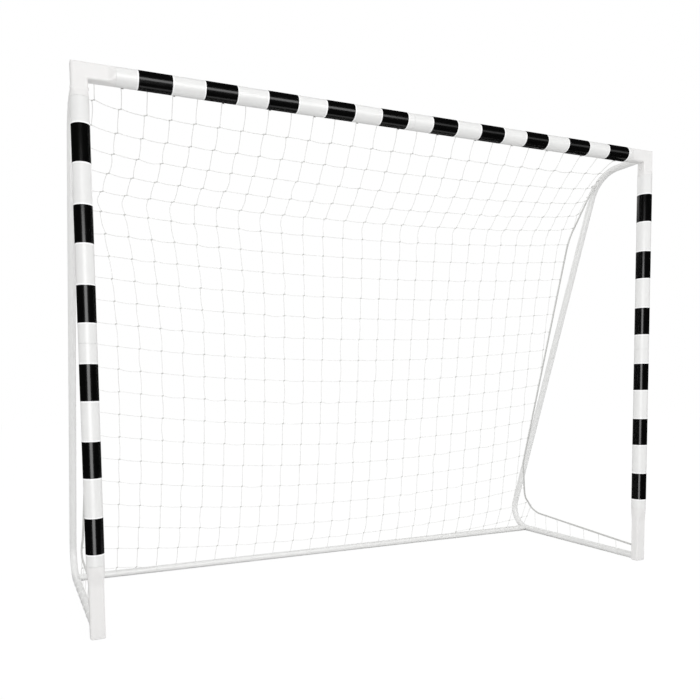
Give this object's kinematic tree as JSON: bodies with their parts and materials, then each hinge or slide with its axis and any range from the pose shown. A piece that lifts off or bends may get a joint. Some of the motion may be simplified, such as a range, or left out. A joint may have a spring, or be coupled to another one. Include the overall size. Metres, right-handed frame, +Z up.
{
  "type": "sports goal",
  "caption": "free-standing football goal with a banded round front frame, flat-sided corners and feet, bent side frames, a ground bar and a knotted net",
  "frame": {"origin": "on the ground, under the middle of the goal's outline in width and in depth", "axes": "+X along the crossbar to the right as seen from the pitch, +Y backwards from the pitch to the ground bar, +Z up"},
  "size_m": [2.4008, 0.8484, 1.7804],
  "materials": {
    "white_tube": "gloss white powder coat on steel tube",
    "white_connector": "satin white powder coat on flat-sided steel",
    "black_band": "gloss black foil",
    "twine": "matt white knotted twine",
    "button_steel": "zinc-plated steel",
    "spring_steel": "bright spring steel"
  },
  "bodies": {
    "goal_frame": {"band_bar_01": "black_band", "band_bar_02": "black_band", "band_bar_03": "black_band", "band_bar_04": "black_band", "band_bar_05": "black_band", "band_bar_06": "black_band", "band_bar_07": "black_band", "band_bar_08": "black_band", "band_bar_09": "black_band", "band_bar_10": "black_band", "band_post_left_1": "black_band", "band_post_left_2": "black_band", "band_post_left_3": "black_band", "band_post_left_4": "black_band", "band_post_left_5": "black_band", "band_post_left_6": "black_band", "band_post_right_1": "black_band", "band_post_right_2": "black_band", "band_post_right_3": "black_band", "band_post_right_4": "black_band", "band_post_right_5": "black_band", "band_post_right_6": "black_band", "corner_connector_left": "white_connector", "corner_connector_right": "white_connector", "crossbar_left": "white_tube", "crossbar_right": "white_tube", "edge_rope_left": "twine", "edge_rope_right": "twine", "foot_left": "white_connector", "foot_right": "white_connector", "leaf_spring_crossbar": "spring_steel", "leaf_spring_post_left": "spring_steel", "leaf_spring_post_right": "spring_steel", "leaf_spring_rear_bar": "spring_steel", "leaf_spring_side_frame_left": "spring_steel", "leaf_spring_side_frame_right": "spring_steel", "net_back": "twine", "net_roof": "twine", "net_skirt": "twine", "post_left_lower": "white_tube", "post_left_upper": "white_tube", "post_right_lower": "white_tube", "post_right_upper": "white_tube", "rear_bar_left": "white_tube", "rear_bar_right": "white_tube", "rear_stub_left": "white_tube", "rear_stub_right": "white_tube", "side_frame_left_lower": "white_tube", "side_frame_left_upper": "white_tube", "side_frame_right_lower": "white_tube", "side_frame_right_upper": "white_tube", "side_net_left": "twine", "side_net_right": "twine"},
    "button_post_left": {"snap_button_post_left": "button_steel"},
    "button_post_right": {"snap_button_post_right": "button_steel"},
    "button_crossbar": {"snap_button_crossbar": "button_steel"},
    "button_side_frame_left": {"snap_button_side_frame_left": "button_steel"},
    "button_side_frame_right": {"snap_button_side_frame_right": "button_steel"},
    "button_rear_bar": {"snap_button_rear_bar": "button_steel"}
  },
  "joints": [
    {"name": "press_post_left", "type": "slide", "parent": "goal_frame", "child": "button_post_left", "axis": [0, -1, 0], "range_m": [0, 0.0053], "stiffness_N_per_m": 1500, "deforming": ["leaf_spring_post_left"]},
    {"name": "press_post_right", "type": "slide", "parent": "goal_frame", "child": "button_post_right", "axis": [0, -1, 0], "range_m": [0, 0.0053], "stiffness_N_per_m": 1500, "deforming": ["leaf_spring_post_right"]},
    {"name": "press_crossbar", "type": "slide", "parent": "goal_frame", "child": "button_crossbar", "axis": [0, -1, 0], "range_m": [0, 0.0053], "stiffness_N_per_m": 1500, "deforming": ["leaf_spring_crossbar"]},
    {"name": "press_side_frame_left", "type": "slide", "parent": "goal_frame", "child": "button_side_frame_left", "axis": [0, -0.9471, -0.321], "range_m": [0, 0.005], "stiffness_N_per_m": 1500, "deforming": ["leaf_spring_side_frame_left"]},
    {"name": "press_side_frame_right", "type": "slide", "parent": "goal_frame", "child": "button_side_frame_right", "axis": [0, -0.9471, -0.321], "range_m": [0, 0.005], "stiffness_N_per_m": 1500, "deforming": ["leaf_spring_side_frame_right"]},
    {"name": "press_rear_bar", "type": "slide", "parent": "goal_frame", "child": "button_rear_bar", "axis": [0, -1, 0], "range_m": [0, 0.005], "stiffness_N_per_m": 1500, "deforming": ["leaf_spring_rear_bar"]}
  ]
}
